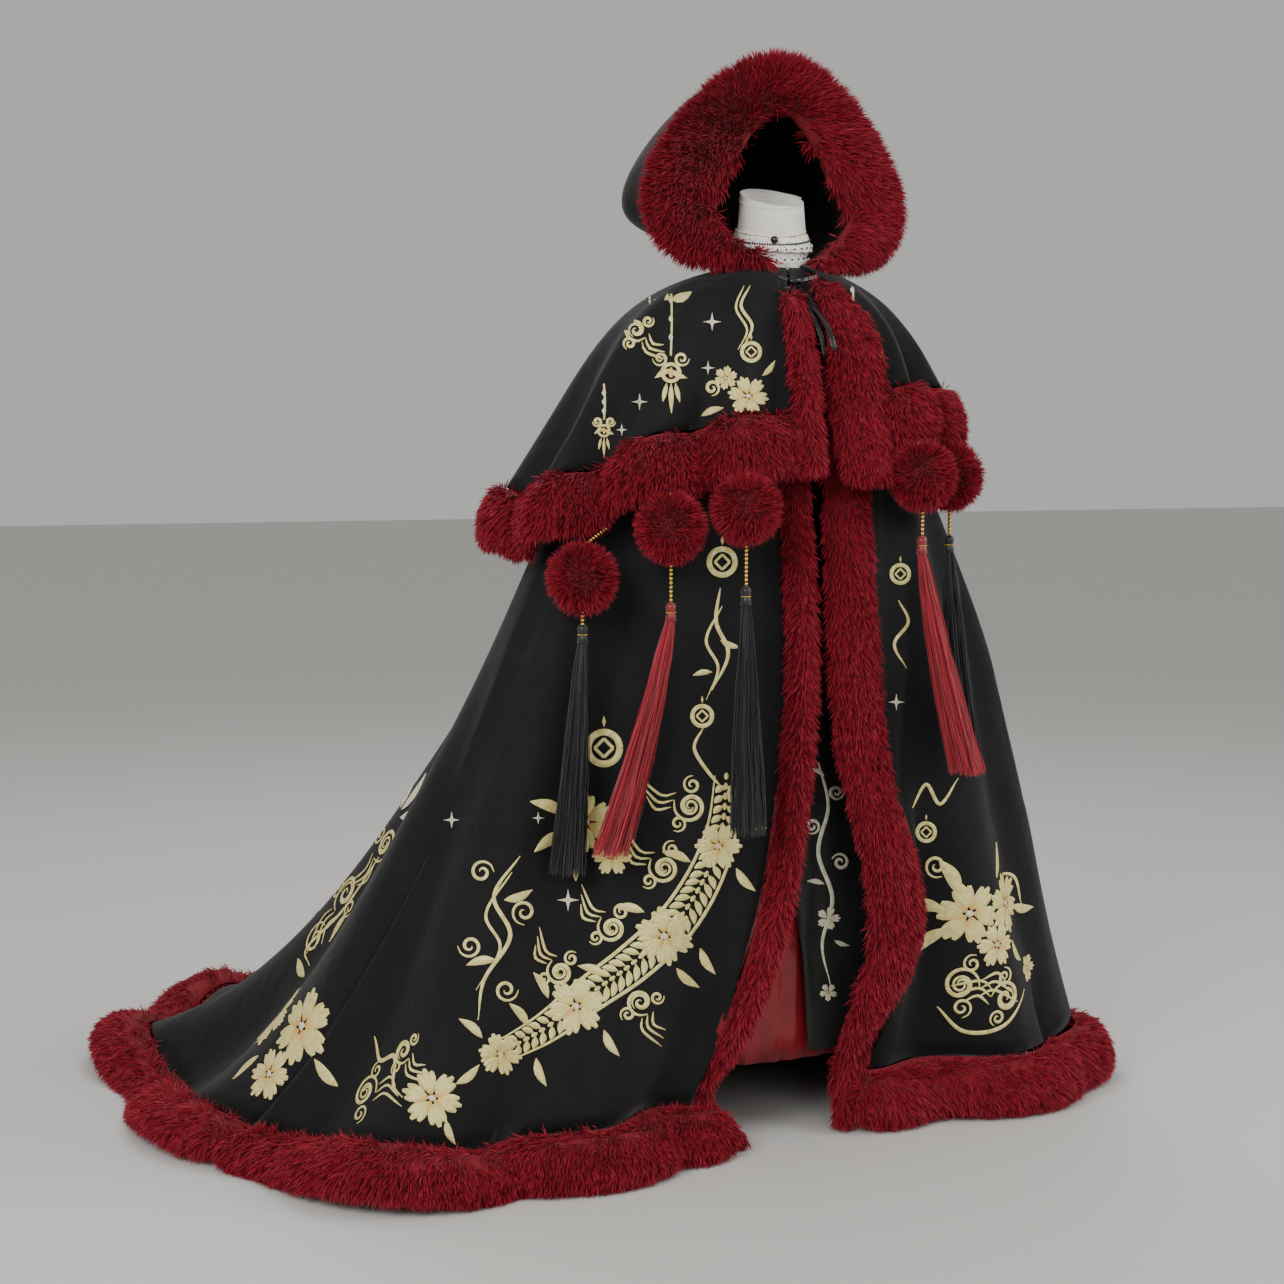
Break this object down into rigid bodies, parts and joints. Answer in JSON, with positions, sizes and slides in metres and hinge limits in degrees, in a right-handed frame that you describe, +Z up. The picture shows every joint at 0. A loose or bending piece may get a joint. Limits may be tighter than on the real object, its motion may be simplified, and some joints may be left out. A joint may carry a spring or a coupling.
{
  "type": "hanfu set, a hooded train cloak with shoulder cape, inner robe and underskirt",
  "caption": "Hooded hanfu set: long train cloak and shoulder cape edged in deep fur, over a robe and underskirt, with pompoms and tassels, hollow as if worn.",
  "frame": {"origin": "base of the neck, in the middle of the neckline where the wearer's shoulders carry the set, 1.5 m above the floor that the train lies on", "axes": "+Z is up. The wearer looks along -Y, and the wearer's right side is at -X."},
  "size_m": [1.8053, 1.5343, 1.858],
  "materials": {
    "black_wool": "matt black wool",
    "robe_silk": "soft dark silk",
    "crimson_fur": "long crimson pile",
    "red_satin": "glossy red satin",
    "white_cloth": "white cotton and lace",
    "black_ribbon": "glossy black satin ribbon",
    "gold_bead": "polished gold coloured beads",
    "red_thread": "red silk thread",
    "black_thread": "black silk thread"
  },
  "bodies": {
    "root": {"bead_string_lower_1": "gold_bead", "bead_string_lower_2": "gold_bead", "bead_string_lower_3": "gold_bead", "bead_string_lower_4": "gold_bead", "bead_string_lower_5": "gold_bead", "bead_string_upper_1": "gold_bead", "bead_string_upper_2": "gold_bead", "bead_string_upper_3": "gold_bead", "bead_string_upper_4": "gold_bead", "bead_string_upper_5": "gold_bead", "cape_back": "black_wool", "cape_fur_front_left": "crimson_fur", "cape_fur_front_right": "crimson_fur", "cape_fur_hem_back": "crimson_fur", "cape_fur_hem_left": "crimson_fur", "cape_fur_hem_right": "crimson_fur", "cape_left": "black_wool", "cape_right": "black_wool", "cloak_back_left": "black_wool", "cloak_back_right": "black_wool", "cloak_fur_front_left": "crimson_fur", "cloak_fur_front_right": "crimson_fur", "cloak_fur_hem_back_left": "crimson_fur", "cloak_fur_hem_back_right": "crimson_fur", "cloak_fur_hem_left_front": "crimson_fur", "cloak_fur_hem_right_front": "crimson_fur", "cloak_left_front": "black_wool", "cloak_right_front": "black_wool", "collar_lace": "white_cloth", "hood_fur": "crimson_fur", "hood_left": "black_wool", "hood_right": "black_wool", "pompom_1": "crimson_fur", "pompom_2": "crimson_fur", "pompom_3": "crimson_fur", "pompom_4": "crimson_fur", "pompom_5": "crimson_fur", "ribbon_knot": "black_ribbon", "ribbon_loop_left": "black_ribbon", "ribbon_loop_right": "black_ribbon", "ribbon_strap_left": "black_ribbon", "ribbon_strap_right": "black_ribbon", "ribbon_tail_left": "black_ribbon", "ribbon_tail_right": "black_ribbon", "robe_back_left": "robe_silk", "robe_back_right": "robe_silk", "robe_left_front": "robe_silk", "robe_right_front": "robe_silk", "sleeve_left": "robe_silk", "sleeve_right": "robe_silk", "stand_collar": "white_cloth", "tassel_1": "black_thread", "tassel_2": "red_thread", "tassel_3": "black_thread", "tassel_4": "red_thread", "tassel_5": "black_thread", "underskirt": "red_satin"}
  },
  "joints": []
}
